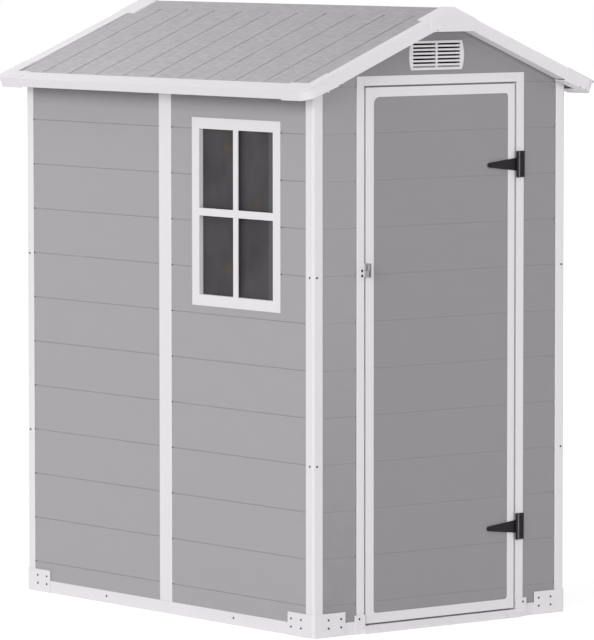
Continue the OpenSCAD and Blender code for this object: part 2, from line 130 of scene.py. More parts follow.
# ---------------------------------------------------------------- shader groups
def make_moulded_skin():
    """Injection-moulded resin: broad cloudiness, streaks both ways and a fine grain."""
    tree, given, out = new_group(
        "moulded skin", "ShaderNodeTree",
        [("Color", "Color", (0.8, 0.8, 0.8, 1)),
         ("Stretch", "Vector", (1, 1, 1)), ("Streak Amount", "Float", 0.02),
         ("Cross Stretch", "Vector", (1, 1, 1)), ("Cross Amount", "Float", 0.0),
         ("Grain Scale", "Float", 700.0),
         ("Cloud Scale", "Float", 5.0), ("Cloud Amount", "Float", 0.03),
         ("Roughness", "Float", 0.45)],
        [("Color", "Color", None), ("Roughness", "Float", None), ("Height", "Float", None)])

    def swing(fac):
        """Noise moved from 0..1 to -1..1."""
        return maths(tree, "MULTIPLY_ADD", fac, 2.0, -1.0)

    def stretched(label):
        return vector_product(tree, place, given[label])

    place = object_place(tree)
    grain = noise(tree, place, given["Grain Scale"], 2.0)
    cloud = noise(tree, place, given["Cloud Scale"], 4.0, 0.6)
    streak = noise(tree, stretched("Stretch"), 1.0, 3.0, 0.65)
    cross = noise(tree, stretched("Cross Stretch"), 1.0, 2.0)
    cloudy = maths(tree, "MULTIPLY_ADD", swing(cloud), given["Cloud Amount"], 1.0)
    streaky = maths(tree, "MULTIPLY_ADD", swing(streak), given["Streak Amount"], cloudy)
    shade = maths(tree, "MULTIPLY_ADD", swing(cross), given["Cross Amount"], streaky)
    tree.links.new(shaded(tree, given["Color"], shade), out["Color"])
    rough = maths(tree, "MULTIPLY_ADD", swing(cloud), 0.06, given["Roughness"])
    tree.links.new(maths(tree, "MULTIPLY_ADD", grain, 0.05, rough), out["Roughness"])
    tree.links.new(maths(tree, "MULTIPLY_ADD", streak, 0.8, grain), out["Height"])
    return tree


def make_low_dust_and_shade():
    """Mask of the dust and splashes that gather low on the walls; on the latch-side strip it carries
    painted shade.
    """
    tree, given, out = new_group(
        "ground dust", "ShaderNodeTree",
        [("Reach", "Float", 0.25), ("Amount", "Float", 0.1)],
        [("Mask", "Float", None)])
    risen = put(tree, "ShaderNodeMath", {0: object_axis(tree, "Z"), 1: given["Reach"]},
                operation="DIVIDE", use_clamp=True).outputs[0]
    low = maths(tree, "SUBTRACT", 1.0, risen)
    spots = noise(tree, object_place(tree), 22.0, 4.0, 0.7)
    soft = maths(tree, "MULTIPLY", low, maths(tree, "ADD", spots, 0.3))
    tree.links.new(maths(tree, "MULTIPLY", soft, given["Amount"]), out["Mask"])
    return tree


MOULDED_SKIN = make_moulded_skin()
LOW_DUST_AND_SHADE = make_low_dust_and_shade()
DUST_COLOUR = (0.30, 0.285, 0.26, 1)
WHITE_COLOUR = (0.80, 0.775, 0.80)
BLACK_COLOUR = (0.013, 0.011, 0.014)
GRAIN_SCALE, GRAIN_DEPTH, GRAIN = 700.0, 0.6 * MM, 0.04             # moulded resin
METAL_GRAIN_SCALE, METAL_GRAIN_DEPTH, METAL_GRAIN = 1500.0, 0.3 * MM, 0.1


def new_material(name, **skin_values):
    """A material with a moulded skin whose roughness drives the shader's."""
    material = bpy.data.materials.new(name)
    material.use_nodes = True
    tree = material.node_tree
    shader = tree.nodes["Principled BSDF"]
    skin = put(tree, "ShaderNodeGroup", node_tree=MOULDED_SKIN)
    for label, value in skin_values.items():
        skin.inputs[label.replace("_", " ")].default_value = value
    tree.links.new(skin.outputs["Roughness"], shader.inputs["Roughness"])
    return material, tree, shader, skin


def add_bump(tree, shader, skin, strength, depth):
    bump = put(tree, "ShaderNodeBump", {"Height": skin.outputs["Height"], "Strength": strength,
                                        "Distance": depth})
    tree.links.new(bump.outputs["Normal"], shader.inputs["Normal"])


def resin(name, colour, roughness, cloud=0.02, streak=0.01, stretch=(8, 8, 8), cross=0.0,
          cross_stretch=(8, 8, 8), grain=GRAIN, dust_and_shade=0.1, reach=0.25, dust_and_shade_colour=DUST_COLOUR, painted_shading=None):
    """Moulded resin of one colour, with a little dust near the ground, which on one piece is painted
    shade; painted_shading adds a slow ramp of painted shade, of painted light where the share lost is
    negative.
    """
    material, tree, shader, skin = new_material(
        name, Color=(*colour, 1), Stretch=stretch, Grain_Scale=GRAIN_SCALE, Cross_Amount=cross,
        Cross_Stretch=cross_stretch, Cloud_Amount=cloud, Streak_Amount=streak, Roughness=roughness)
    low = put(tree, "ShaderNodeGroup", node_tree=LOW_DUST_AND_SHADE)
    low.inputs["Amount"].default_value = dust_and_shade
    low.inputs["Reach"].default_value = reach
    clean = skin.outputs["Color"]
    if painted_shading:                # painted shade, painted light where the share lost is negative: a slow change over the whole piece: direction, from, to, share lost
        along, start, stop, lost = painted_shading
        way = put(tree, "ShaderNodeVectorMath", {0: object_place(tree), 1: along}, operation="DOT_PRODUCT")
        kept = ramp(tree, way.outputs["Value"], start, stop, 1.0, 1.0 - lost)
        clean = shaded(tree, clean, kept)
    tree.links.new(blend(tree, low.outputs["Mask"], clean, dust_and_shade_colour), shader.inputs["Base Color"])
    add_bump(tree, shader, skin, grain, GRAIN_DEPTH)
    shader.inputs["Specular IOR Level"].default_value = 0.35
    return material


def metal(name, colour, roughness, metallic, specular=0.5):
    """Coated or zinc-plated steel: the moulded skin's cloudiness and grain, no dust."""
    material, tree, shader, skin = new_material(
        name, Color=(*colour, 1), Grain_Scale=METAL_GRAIN_SCALE, Cloud_Scale=60.0, Cloud_Amount=0.15,
        Roughness=roughness)
    tree.links.new(skin.outputs["Color"], shader.inputs["Base Color"])
    add_bump(tree, shader, skin, METAL_GRAIN, METAL_GRAIN_DEPTH)
    shader.inputs["Metallic"].default_value = metallic
    shader.inputs["Specular IOR Level"].default_value = specular
    return material


def lock_finish(plate_y):
    """Padlock plates: white coating on the screwed-on plates, worn to bare zinc on the lugs in front."""
    material, tree, shader, skin = new_material(
        "lock_finish", Color=(0.40, 0.388, 0.402, 1), Grain_Scale=METAL_GRAIN_SCALE, Cloud_Scale=60.0,
        Cloud_Amount=0.25, Stretch=(60, 60, 12), Streak_Amount=0.2, Roughness=0.4)
    bare = ramp(tree, object_axis(tree, "Y"), plate_y, plate_y - 1 * MM)
    coat = blend(tree, bare, (*WHITE_COLOUR, 1), skin.outputs["Color"])
    tree.links.new(coat, shader.inputs["Base Color"])
    tree.links.new(maths(tree, "MULTIPLY", bare, 0.2), shader.inputs["Metallic"])
    return material


def barrel_painted_highlight(front_y):
    """Black coating with a painted highlight: a lighter strip along the front of the hinge barrel."""
    material = metal("barrel_black_painted_highlight", BLACK_COLOUR, 0.5, 0.0, specular=0.2)
    tree = material.node_tree
    shader = tree.nodes["Principled BSDF"]
    coat = shader.inputs["Base Color"].links[0].from_socket
    highlight_mask = ramp(tree, object_axis(tree, "Y"), front_y + 0.2 * MM, front_y - 0.1 * MM)
    tree.links.new(blend(tree, highlight_mask, coat, (0.16, 0.155, 0.16, 1)), shader.inputs["Base Color"])
    return material


def tinted_pane(reflection_start, reflection_stop):
    """Smoke-tinted window sheet: slanting streaks, a few warm blotches, and a painted reflection of the
    window reveal as a lighter rim along one side.
    """
    material, tree, shader, skin = new_material(
        "tinted_pane", Color=(0.066, 0.062, 0.068, 1), Cloud_Scale=5.0, Cloud_Amount=0.5,
        Stretch=(4, 9, 4), Streak_Amount=0.4, Roughness=0.3)
    spots = ramp(tree, noise(tree, object_place(tree), 7.0, 2.0), 0.60, 0.74, 0.0, 0.6)
    warm = blend(tree, spots, skin.outputs["Color"], (0.11, 0.078, 0.038, 1))
    middle, half = (reflection_start + reflection_stop) / 2, (reflection_stop - reflection_start) / 2
    off = maths(tree, "ABSOLUTE", maths(tree, "SUBTRACT", object_axis(tree, "Y"), middle))
    reflection_mask = ramp(tree, off, half - 2 * MM, half + 1 * MM, 1.0, 0.0)
    tree.links.new(blend(tree, reflection_mask, warm, (0.108, 0.103, 0.111, 1)), shader.inputs["Base Color"])
    shader.inputs["Specular IOR Level"].default_value = 0.08
    return material


BOARD_STRETCH = (9, 9, 60)
WHITE = resin("white_resin", WHITE_COLOUR, 0.42, cloud=0.012, streak=0.008, dust_and_shade=0.03)
# painted light: a paler copy of the white for the vent, against the shade under the roof overhang
WHITE_PAINTED_LIGHT = resin("vent_white_painted_light", (0.95, 0.925, 0.95), 0.42, cloud=0.012, streak=0.008, dust_and_shade=0.0)
SIDE_GREY = resin("side_panel_grey", (0.382, 0.367, 0.384), 0.5, cloud=0.02, streak=0.02,
                  stretch=BOARD_STRETCH, dust_and_shade=0.05)
# painted shadow: darker towards the eaves, up to 35 % in the band from 1.616 to 1.672 m high
SIDE_WALL_GREY_EAVE_SHADE = resin("side_wall_grey_painted_eave_shadow", (0.382, 0.367, 0.384), 0.5, cloud=0.02, streak=0.02,
                       stretch=BOARD_STRETCH, dust_and_shade=0.05, painted_shading=((0, 0, 1), 1.616, 1.672, 0.35))
# painted shade: the front panels are a darker copy of the side grey, for the weaker light that falls on
# them
FRONT_GREY_PAINTED_SHADE = resin("front_panel_grey_painted_shade", (0.304, 0.290, 0.306), 0.5, cloud=0.025, streak=0.02,
                   stretch=BOARD_STRETCH, dust_and_shade=0.05,        # painted light: a little paler under the right rake, against the shade of its overhang
                   painted_shading=((math.sin(SLOPE), 0, math.cos(SLOPE)), 1.746, 1.766, -0.32))
# painted light: a paler copy of the front grey on the strip by the latch, turning patchily back to the
# front grey towards the ground through the dust mask, which here is painted shade
STRIP_GREY_PAINTED_LIGHT = resin("latch_side_grey_painted_light", (0.362, 0.347, 0.364), 0.5, cloud=0.025, streak=0.02,
                   stretch=BOARD_STRETCH, dust_and_shade=1.2, reach=1.0, dust_and_shade_colour=(0.302, 0.288, 0.302, 1))
# painted shade: the roof grey darkens by up to 23 % towards the ridge and the front end
ROOF_GREY_PAINTED_SHADE = resin("roof_panel_grey_painted_shade", (0.494, 0.474, 0.495), 0.6, cloud=0.02, streak=0.2,
                  stretch=(9, 160, 9), cross=0.3, cross_stretch=(190, 22, 190), grain=0.15, dust_and_shade=0.0,
                  painted_shading=((0, -0.09, 1), 1.64, 2.03, 0.23))
INNER_GREY = resin("inner_grey", (0.27, 0.27, 0.275), 0.6, cloud=0.04, dust_and_shade=0.25)
BLACK = metal("black_coating", BLACK_COLOUR, 0.5, 0.0, specular=0.2)
ZINC = metal("zinc_plate", (0.42, 0.42, 0.43), 0.38, 0.85)
SCREW_GREY = metal("screw_grey", (0.045, 0.045, 0.048), 0.45, 0.4)
SCREW_BLACK = metal("screw_black", (0.010, 0.009, 0.010), 0.6, 0.0, specular=0.1)
PANE_EDGE_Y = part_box("window_glass")[0].y
REFLECTION_START, REFLECTION_STOP = 20 * MM, 40 * MM      # the pane's painted reflection of the reveal, a lighter rim, from its front edge
PANE = tinted_pane(PANE_EDGE_Y + REFLECTION_START, PANE_EDGE_Y + REFLECTION_STOP)
FINISH = {"white_trim": WHITE, "grey_panel": SIDE_GREY, "grey_roof": ROOF_GREY_PAINTED_SHADE,
          "dark_grey_plastic": INNER_GREY, "black_metal": BLACK, "zinc_metal": ZINC, "window_pane": PANE}


# ---------------------------------------------------------------- mesh helpers
SAME_POINT = 0.005 * MM
FLAT_ANGLE, EDGE_ANGLE = math.radians(0.5), math.radians(35)


def new_object(name, mesh=None):
    piece = bpy.data.objects.new(name, mesh or bpy.data.meshes.new(name))
    scene.collection.objects.link(piece)
    return piece


def merged_copy(node, name):
    """A copy of a CAD node's solid with its triangles joined into flat faces."""
    mesh = NODES[node].data.copy()
    mesh.name = name
    mesh.materials.clear()
    return tidy_faces(new_object(name, mesh))


def solid(name, shells):
    """A piece of several closed shells, each a list of points and a list of faces."""
    mesh = bpy.data.meshes.new(name)
    points, faces = [], []
    for shell_points, shell_faces in shells:
        faces += [[i + len(points) for i in face] for face in shell_faces]
        points += shell_points
    mesh.from_pydata([Vector(p) for p in points], [], faces)
    bm = bmesh.new()
    bm.from_mesh(mesh)
    bmesh.ops.recalc_face_normals(bm, faces=bm.faces)
    bm.to_mesh(mesh)
    bm.free()
    return new_object(name, mesh)


def prism(outline, y0, y1):
    """Shell with an (x, z) outline, drawn out along Y."""
    count = len(outline)
    points = [(x, y, z) for y in (y0, y1) for x, z in outline]
    sides = [[i, (i + 1) % count, count + (i + 1) % count, count + i] for i in range(count)]
    return points, [list(range(count))[::-1], list(range(count, 2 * count))] + sides


def block(low, high):
    """Box between two corners."""
    (x0, y0, z0), (x1, y1, z1) = low, high
    return prism([(x0, z0), (x1, z0), (x1, z1), (x0, z1)], y0, y1)


def settle(piece):
    """Turns a piece with live modifiers into a plain mesh."""
    bpy.context.view_layer.update()
    evaluated = piece.evaluated_get(bpy.context.evaluated_depsgraph_get())
    mesh = bpy.data.meshes.new_from_object(evaluated)
    piece.modifiers.clear()
    piece.data = mesh
    mesh.name = piece.name
    return piece


def fuse(piece, others, operation="UNION"):
    """Joins other solids to a piece, or cuts them out of it, and drops them."""
    for other in others:
        join = piece.modifiers.new("join", "BOOLEAN")
        join.solver = "MANIFOLD"
        join.operation = operation
        join.object = other
    settle(piece)
    for other in others:
        bpy.data.objects.remove(other)
    return tidy_faces(piece)


def tidy_faces(piece):
    """Merges doubled points and flattens away the edges inside flat faces."""
    bm = bmesh.new()
    bm.from_mesh(piece.data)
    bmesh.ops.remove_doubles(bm, verts=bm.verts, dist=SAME_POINT)
    bmesh.ops.dissolve_limit(bm, angle_limit=FLAT_ANGLE, verts=bm.verts, edges=bm.edges)
    bm.to_mesh(piece.data)
    bm.free()
    return piece


def soften(piece, radius, segments=2):
    """Rounds the sharp edges; the radius is in millimetres."""
    bevel = piece.modifiers.new("edges", "BEVEL")
    bevel.width = radius * MM
    bevel.segments = segments
    bevel.limit_method = "ANGLE"
    bevel.angle_limit = EDGE_ANGLE
    return settle(piece)


def hand_over(piece, body, material=None, nodes=(), smooth=50):
    """Last steps of every new piece: shading, finish, body and the CAD nodes it stands for."""
    mesh = piece.data
    mesh.polygons.foreach_set("use_smooth", [smooth > 0] * len(mesh.polygons))
    if smooth > 0:
        mesh.set_sharp_from_angle(angle=math.radians(smooth))
        even = piece.modifiers.new("even", "WEIGHTED_NORMAL")     # keeps the large faces flat
        even.keep_sharp = True
        mesh = settle(piece).data
    if material:
        mesh.materials.clear()
        mesh.materials.append(material)
    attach(piece, body)
    if nodes:
        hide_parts(*nodes)
    return piece


def trim_from(node, radius, material=WHITE):
    """A CAD node's own solid with softened edges."""
    piece = soften(merged_copy(node, "made_" + node), radius)
    return hand_over(piece, BODY_OF[node], material, [node])


# ---------------------------------------------------------------- geometry trees
def socket_id(tree, label):
    for item in tree.interface.items_tree:
        if item.item_type == "SOCKET" and item.in_out == "INPUT" and item.name == label:
            return item.identifier
    raise KeyError(label)


def grow(piece, tree, **sizes):
    """Runs a geometry tree on the piece and keeps the result as a plain mesh."""
    maker = piece.modifiers.new("maker", "NODES")
    maker.node_group = tree
    for label, value in sizes.items():
        maker[socket_id(tree, label.replace("_", " "))] = value
    return settle(piece)


def transformed(tree, geometry, **placing):
    return put(tree, "GeometryNodeTransform", {"Geometry": geometry, **placing}).outputs[0]


def box_node(tree, size, **placing):
    """A box mesh, moved or turned when a Translation or a Rotation is given."""
    made = put(tree, "GeometryNodeMeshCube", {"Size": size}).outputs["Mesh"]
    return transformed(tree, made, **placing) if placing else made


def row_of(tree, part, count, start, step):
    """The same part on every point of a straight row, made real."""
    line = put(tree, "GeometryNodeMeshLine", {"Count": count, "Start Location": start, "Offset": step},
               mode="OFFSET").outputs[0]
    placed = put(tree, "GeometryNodeInstanceOnPoints", {"Points": line, "Instance": part}).outputs[0]
    return put(tree, "GeometryNodeRealizeInstances", {0: placed}).outputs[0]


def cut_out(tree, body, cutters):
    cut = put(tree, "GeometryNodeMeshBoolean", {"Mesh 1": body}, operation="DIFFERENCE", solver="MANIFOLD")
    for cutter in cutters:
        tree.links.new(cutter, cut.inputs["Mesh 2"])
    return cut.outputs[0]


def finish_tree(tree, geometry, material, out):
    """The end of every tree: real geometry in one material."""
    real = put(tree, "GeometryNodeRealizeInstances", {0: geometry}).outputs[0]
    done = put(tree, "GeometryNodeSetMaterial", {"Geometry": real, "Material": material}).outputs[0]
    tree.links.new(done, out)
    return tree


def vector_of(tree, x=0.0, y=0.0, z=0.0):
    return put(tree, "ShaderNodeCombineXYZ", {0: x, 1: y, 2: z}).outputs[0]


def make_grooved_panel():
    """Cuts a row of V grooves, the pockets at their ends and one edge gap out of a panel."""
    tree, given, out = new_group(
        "grooved panel", "GeometryNodeTree",
        [("Panel", "Geometry", None), ("Count", "Int", 11), ("Start", "Vector", None),
         ("Step", "Vector", None), ("Groove Size", "Vector", None), ("Turn", "Rotation", None),
         ("Back Offset", "Vector", None),
         ("Pocket Start", "Vector", None), ("Pocket Size", "Vector", None),
         ("Gap Centre", "Vector", None), ("Gap Size", "Vector", None), ("Material", "Material", None)],
        [("Panel", "Geometry", None)])
    diamond = box_node(tree, (1, 1, 1), Rotation=(math.radians(45), 0, 0))
    sized = transformed(tree, diamond, Scale=given["Groove Size"])
    turned = transformed(tree, sized, Rotation=given["Turn"])
    grooves = row_of(tree, turned, given["Count"], given["Start"], given["Step"])
    behind = transformed(tree, grooves, Translation=given["Back Offset"])
    pocket = box_node(tree, given["Pocket Size"])
    pockets = row_of(tree, pocket, given["Count"], given["Pocket Start"], given["Step"])
    gap = box_node(tree, given["Gap Size"], Translation=given["Gap Centre"])
    cut = cut_out(tree, given["Panel"], (grooves, behind, pockets, gap))
    return finish_tree(tree, cut, given["Material"], out["Panel"])


def make_screws():
    """Pan-head screws with a cross recess at the piece's points, facing its `facing` vectors."""
    tree, given, out = new_group(
        "screws", "GeometryNodeTree",
        [("Points", "Geometry", None), ("Head Radius", "Float", 0.004), ("Head Height", "Float", 0.0018),
         ("Sides", "Int", 16), ("Material", "Material", None)],
        [("Screws", "Geometry", None)])
    top_share, recess_length, recess_width, recess_depth = 0.62, 1.15, 0.26, 1.1    # of radius and height
    top = maths(tree, "MULTIPLY", given["Head Radius"], top_share)
    head = put(tree, "GeometryNodeMeshCone", {
        "Vertices": given["Sides"], "Radius Bottom": given["Head Radius"], "Radius Top": top,
        "Depth": given["Head Height"]}).outputs["Mesh"]
    length = maths(tree, "MULTIPLY", given["Head Radius"], recess_length)
    width = maths(tree, "MULTIPLY", given["Head Radius"], recess_width)
    depth = maths(tree, "MULTIPLY", given["Head Height"], recess_depth)
    lift = vector_of(tree, z=given["Head Height"])
    recess = [box_node(tree, vector_of(tree, *flat, depth), Translation=lift)
              for flat in ((length, width), (width, length))]
    cut = cut_out(tree, head, recess)
    facing = put(tree, "GeometryNodeInputNamedAttribute", {"Name": "facing"},
                 data_type="FLOAT_VECTOR").outputs[0]
    turned = put(tree, "FunctionNodeAlignRotationToVector", {"Vector": facing}, axis="Z").outputs[0]
    placed = put(tree, "GeometryNodeInstanceOnPoints", {"Points": given["Points"], "Instance": cut,
                                                        "Rotation": turned}).outputs[0]
    return finish_tree(tree, placed, given["Material"], out["Screws"])


def make_glazing_bars():
    """A level and an upright glazing bar joined into one cross."""
    tree, given, out = new_group(
        "glazing bars", "GeometryNodeTree",
        [("Level Centre", "Vector", None), ("Level Size", "Vector", None),
         ("Upright Centre", "Vector", None), ("Upright Size", "Vector", None),
         ("Material", "Material", None)],
        [("Bars", "Geometry", None)])
    joined = put(tree, "GeometryNodeMeshBoolean", operation="UNION", solver="MANIFOLD")
    for way in ("Level", "Upright"):
        bar = box_node(tree, given[way + " Size"], Translation=given[way + " Centre"])
        tree.links.new(bar, joined.inputs["Mesh 2"])
    return finish_tree(tree, joined.outputs[0], given["Material"], out["Bars"])


def make_vent():
    """Louvred vent plate: two columns of slots in a plate whose ends bow outwards."""
    tree, given, out = new_group(
        "gable vent", "GeometryNodeTree",
        [("Size", "Vector", None), ("Bow", "Float", 0.0085), ("Slot Size", "Vector", None),
         ("Pitch", "Float", 0.01175), ("Rows", "Int", 7), ("Column Step", "Float", 0.0995),
         ("Centre", "Vector", None), ("Material", "Material", None)],
        [("Vent", "Geometry", None)])
    bow_steps = 15
    size = put(tree, "ShaderNodeSeparateXYZ", {0: given["Size"]}).outputs
    sheet = put(tree, "GeometryNodeMeshGrid", {"Size X": size[0], "Size Y": size[2], "Vertices X": 2,
                                               "Vertices Y": bow_steps}).outputs["Mesh"]
    here = put(tree, "GeometryNodeInputPosition").outputs[0]
    parts = put(tree, "ShaderNodeSeparateXYZ", {0: here}).outputs
    share = maths(tree, "DIVIDE", parts[1], maths(tree, "MULTIPLY", size[2], 0.5))
    bowed = maths(tree, "SUBTRACT", 1.0, maths(tree, "MULTIPLY", share, share))
    push = maths(tree, "MULTIPLY", maths(tree, "MULTIPLY", bowed, given["Bow"]),
                 maths(tree, "SIGN", parts[0]))
    moved = put(tree, "GeometryNodeSetPosition", {"Geometry": sheet,
                                                  "Offset": vector_of(tree, push)}).outputs[0]
    thick = put(tree, "GeometryNodeExtrudeMesh", {"Mesh": moved, "Offset": vector_of(tree, z=size[1]),
                                                  "Individual": False}, mode="FACES")
    back = put(tree, "GeometryNodeFlipFaces", {"Mesh": moved}).outputs[0]
    joined = put(tree, "GeometryNodeJoinGeometry")
    for side in (back, thick.outputs["Mesh"]):
        tree.links.new(side, joined.inputs[0])
    plate = put(tree, "GeometryNodeMergeByDistance", {"Geometry": joined.outputs[0],
                                                      "Distance": 0.001 * MM}).outputs[0]
    half_rows = maths(tree, "MULTIPLY", maths(tree, "SUBTRACT", given["Rows"], 1.0), -0.5)
    low = maths(tree, "MULTIPLY", half_rows, given["Pitch"])
    step = vector_of(tree, y=given["Pitch"])
    slots = [row_of(tree, box_node(tree, given["Slot Size"]), given["Rows"],
                    vector_of(tree, maths(tree, "MULTIPLY", given["Column Step"], side), low), step)
             for side in (-0.5, 0.5)]
    upright = transformed(tree, cut_out(tree, plate, slots), Rotation=(math.radians(90), 0, 0),
                          Translation=given["Centre"])
    return finish_tree(tree, upright, given["Material"], out["Vent"])


GROOVED_PANEL = make_grooved_panel()
SCREWS = make_screws()
VENT = make_vent()
GLAZING_BARS = make_glazing_bars()

# ---------------------------------------------------------------- grooved panels
BOARD_Z0, BOARD_Z0_FRONT, BOARD_PITCH = 99.4 * MM, 97.2 * MM, 146.8 * MM
GROOVE = {"side": (3.7 * MM, 1.9 * MM), "front": (4.2 * MM, 1.2 * MM)}      # width, depth
EDGE_CLEAR = 6 * MM                                     # no groove nearer to a panel's top or bottom
POCKET_W, POCKET_H, POCKET_D = 5 * MM, 7 * MM, 12 * MM
GAP_W, GAP_D = 2.4 * MM, 7 * MM
BEYOND = 2 * MM
ROOT2 = math.sqrt(2)
OUT_OF_WAY = Vector((0, 0, -5))


def board_rows(low, high, datum=BOARD_Z0):
    """First groove height and number of grooves between two heights."""
    first = math.ceil((low + EDGE_CLEAR - datum) / BOARD_PITCH)
    last = math.floor((high - EDGE_CLEAR - datum) / BOARD_PITCH)
    return datum + first * BOARD_PITCH, max(0, last - first + 1)


def board_panel(node, normal, material, ends=True):
    """A wall panel with level grooves on both faces; at its far end a gap, and pockets on the front."""
    low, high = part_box(node)
    size, middle = high - low, (low + high) / 2
    normal = Vector(normal)
    on_front = normal.y < -0.5
    across_x = abs(normal.y) > 0.5
    z0, count = board_rows(low.z, high.z, BOARD_Z0_FRONT if on_front else BOARD_Z0)
    groove_w, groove_d = GROOVE["front" if on_front else "side"]
    thick, run = (size.y, size.x) if across_x else (size.x, size.y)
    face = middle + normal * thick / 2

    def at(along, z):
        """A point on the panel's face: at its middle or its far end, at a height."""
        return Vector((along.x, face.y, z)) if across_x else Vector((face.x, along.y, z))

    def span(length, deep, tall):
        return (length, deep, tall) if across_x else (deep, length, tall)

    piece = grow(
        merged_copy(node, "boards_" + node), GROOVED_PANEL, Count=count, Start=at(middle, z0),
        Step=(0, 0, BOARD_PITCH), Groove_Size=(run + 2 * BEYOND, groove_d * ROOT2, groove_w / ROOT2),
        Turn=(0, 0, 0 if across_x else math.radians(90)), Back_Offset=-normal * thick,
        Pocket_Start=at(high, z0) if ends and on_front else OUT_OF_WAY,
        Pocket_Size=span(2 * POCKET_W, 2 * POCKET_D, POCKET_H),
        Gap_Centre=at(high, middle.z) if ends else OUT_OF_WAY,
        Gap_Size=span(2 * GAP_W, 2 * GAP_D, size.z + 2 * BEYOND), Material=material)
    return hand_over(piece, BODY_OF[node], None, [node], smooth=0)


for node in ("wall_left_front", "wall_left_rear"):
    board_panel(node, (-1, 0, 0), SIDE_WALL_GREY_EAVE_SHADE)
for node in ("wall_right_front", "wall_right_rear"):
    board_panel(node, (1, 0, 0), SIDE_WALL_GREY_EAVE_SHADE)
for node in ("wall_rear_left", "wall_rear_right"):
    board_panel(node, (0, 1, 0), SIDE_GREY)
board_panel("gable_rear", (0, 1, 0), SIDE_GREY, ends=False)
for node in ("wall_front_right", "door_panel"):
    board_panel(node, (0, -1, 0), FRONT_GREY_PAINTED_SHADE)
board_panel("wall_front_left", (0, -1, 0), STRIP_GREY_PAINTED_LIGHT)
board_panel("gable_front", (0, -1, 0), FRONT_GREY_PAINTED_SHADE, ends=False)

# ---------------------------------------------------------------- roof
ROOF_GROOVE_Y0, ROOF_GROOVE_PITCH, ROOF_GROOVES = -691.6 * MM, 147.3 * MM, 10
ROOF_GROOVE_WIDTH, ROOF_GROOVE_DEPTH = 9.5 * MM, 14 * MM
SEAT_GROOVE = 5.5 * MM      # along the roof panel's edge beside the rake trims
CAP_HALF = 50 * MM          # the grooves start under the ridge cap
HIDDEN_EDGE = 24 * MM       # and end under the eave trim
NOTCH, NOTCH_DEPTH = 30 * MM, 40 * MM       # corners taken off under the rounded corner caps
CLEAR = 10 * MM             # how far a cutter reaches past what it cuts
TRIM_T = 3.5 * MM
THIN_EDGE = 0.4 * MM        # the ridge cap thins out towards its edges
RIDGE_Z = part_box("ridge_cap")[1].z
EAVE_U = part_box("eave_trims")[1].x / math.cos(SLOPE)
ROOF_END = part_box("rake_trims_rear")[1].y
FLANGE_FRONT, FLANGE_REAR = 39 * MM, 54.5 * MM     # top flanges of the rake trims
SIDES, ENDS = (-1, 1), (-1, 1)


def slope_point(side, u, y, v):
    """A point of the roof frame: u down the slope from the ridge, v square to it."""
    return Vector((side * (u * math.cos(SLOPE) + v * math.sin(SLOPE)), y,
                   RIDGE_Z - u * math.sin(SLOPE) + v * math.cos(SLOPE)))


def slope_shell(side, end, outline, top, under):
    """Shell with a (u, y) outline in the roof frame; its under side may change along u."""
    count = len(outline)
    points = [slope_point(side, u, end * y, top) for u, y in outline]
    points += [slope_point(side, u, end * y, under(u) if callable(under) else under) for u, y in outline]
    walls = [[i, (i + 1) % count, count + (i + 1) % count, count + i] for i in range(count)]
    return points, [list(range(count))[::-1], list(range(count, 2 * count))] + walls


def slope_block(side, end, u0, u1, y0, y1, v0, v1):
    """Box in the roof frame."""
    return slope_shell(side, end, [(u0, y0), (u1, y0), (u1, y1), (u0, y1)], v1, v0)


def roof_panel(side, node):
    u0, u1 = CAP_HALF, EAVE_U - HIDDEN_EDGE
    middle = (u0 + u1) / 2
    seat = -ROOF_END + FLANGE_FRONT + SEAT_GROOVE / 2
    rear_seat = ROOF_END - FLANGE_REAR - SEAT_GROOVE / 2
    piece = merged_copy(node, "grooved_" + node)
    for count, y0, step, width, depth in (
            (ROOF_GROOVES, ROOF_GROOVE_Y0, ROOF_GROOVE_PITCH, ROOF_GROOVE_WIDTH, ROOF_GROOVE_DEPTH),
            (2, seat, rear_seat - seat, SEAT_GROOVE, SEAT_GROOVE)):
        grow(piece, GROOVED_PANEL, Count=count, Start=slope_point(side, middle, y0, -TRIM_T),
             Step=(0, step, 0), Groove_Size=(u1 - u0, width / ROOT2, depth * ROOT2),
             Turn=(0, side * SLOPE, 0), Back_Offset=OUT_OF_WAY,
             Pocket_Start=OUT_OF_WAY, Pocket_Size=(MM, MM, MM),
             Gap_Centre=OUT_OF_WAY, Gap_Size=(MM, MM, MM), Material=ROOF_GREY_PAINTED_SHADE)
    notches = [slope_block(side, end, EAVE_U - NOTCH, EAVE_U + CLEAR, ROOF_END - NOTCH, ROOF_END + CLEAR,
                           -NOTCH_DEPTH, CLEAR) for end in ENDS]
    fuse(piece, [solid("notches", notches)], "DIFFERENCE")
    return hand_over(piece, BODY_OF[node], ROOF_GREY_PAINTED_SHADE, [node], smooth=0)


roof_panel(-1, "roof_panel_left")
roof_panel(1, "roof_panel_right")
low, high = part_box("ridge_cap")
edge_x = high.x - TRIM_T * math.sin(SLOPE)
cap_under_z = high.z - TRIM_T / math.cos(SLOPE)
ridge = solid("ridge_cover", [prism(
    [(0, high.z), (edge_x, low.z + THIN_EDGE), (edge_x, low.z), (0, cap_under_z),
     (-edge_x, low.z), (-edge_x, low.z + THIN_EDGE)], low.y, high.y)])
hand_over(soften(ridge, 0.15), "shed", ROOF_GREY_PAINTED_SHADE, ["ridge_cap"])

